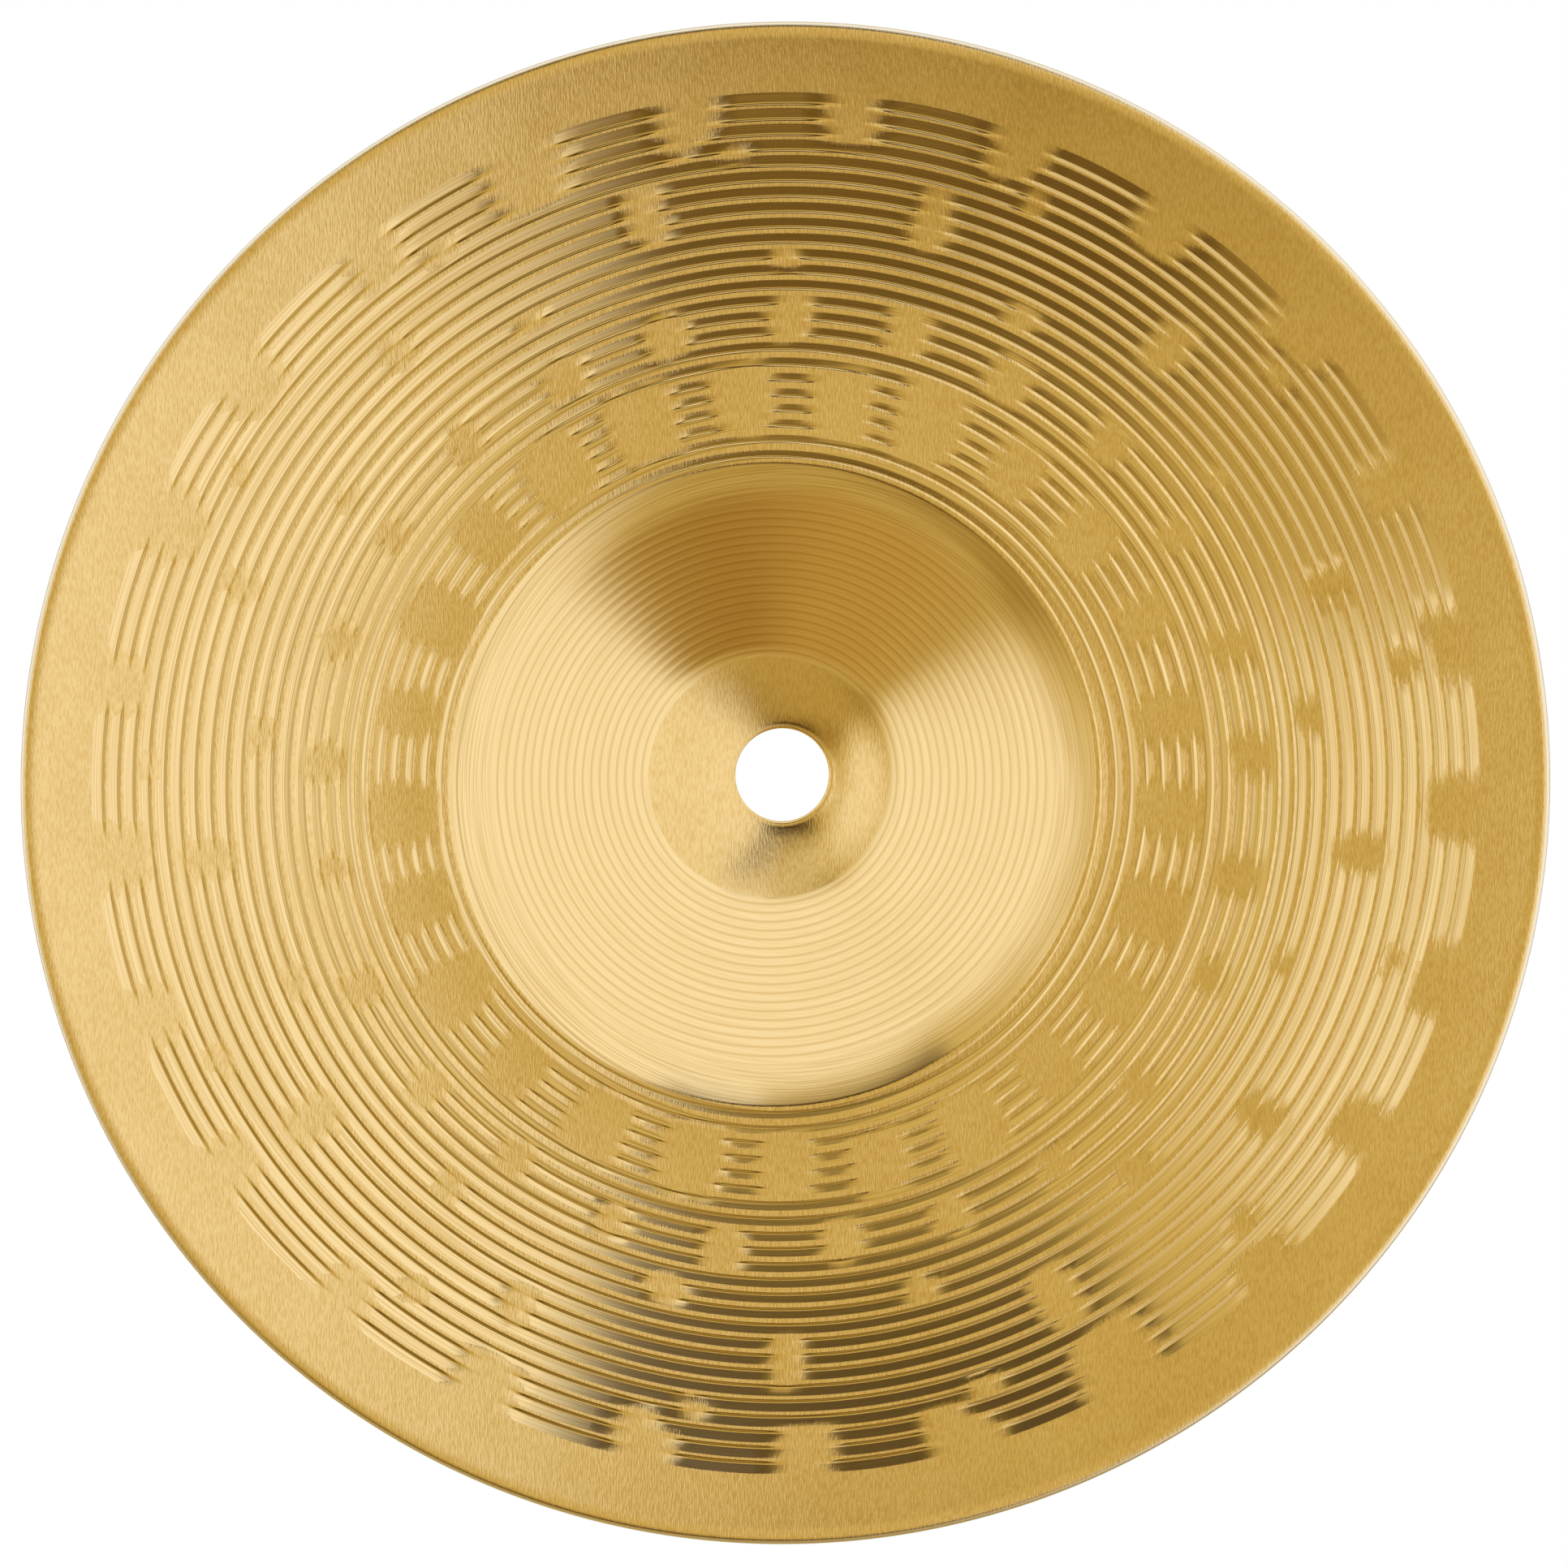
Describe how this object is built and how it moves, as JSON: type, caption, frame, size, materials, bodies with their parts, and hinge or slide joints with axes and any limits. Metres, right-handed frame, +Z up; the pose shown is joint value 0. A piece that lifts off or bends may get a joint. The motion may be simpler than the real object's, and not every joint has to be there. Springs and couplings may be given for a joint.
{
  "type": "splash cymbal",
  "caption": "Small round cymbal: one thin brass disc with a raised bell, a bow that falls to the rim and a round centre hole for a stand's rod.",
  "frame": {"origin": "centre of the circle that the rim rests on, level with the rim's underside; it is also on the centre hole's axis", "axes": "+Z points up out of the bell, with the hollow side facing down; +X points away from the side that the bell is shifted to"},
  "size_m": [0.2032, 0.2032, 0.022],
  "materials": {
    "brass": "hammered sheet brass, lathed in rings; raw rolled sheet where the tool did not reach"
  },
  "bodies": {
    "root": {"cymbal": "brass"}
  },
  "joints": []
}
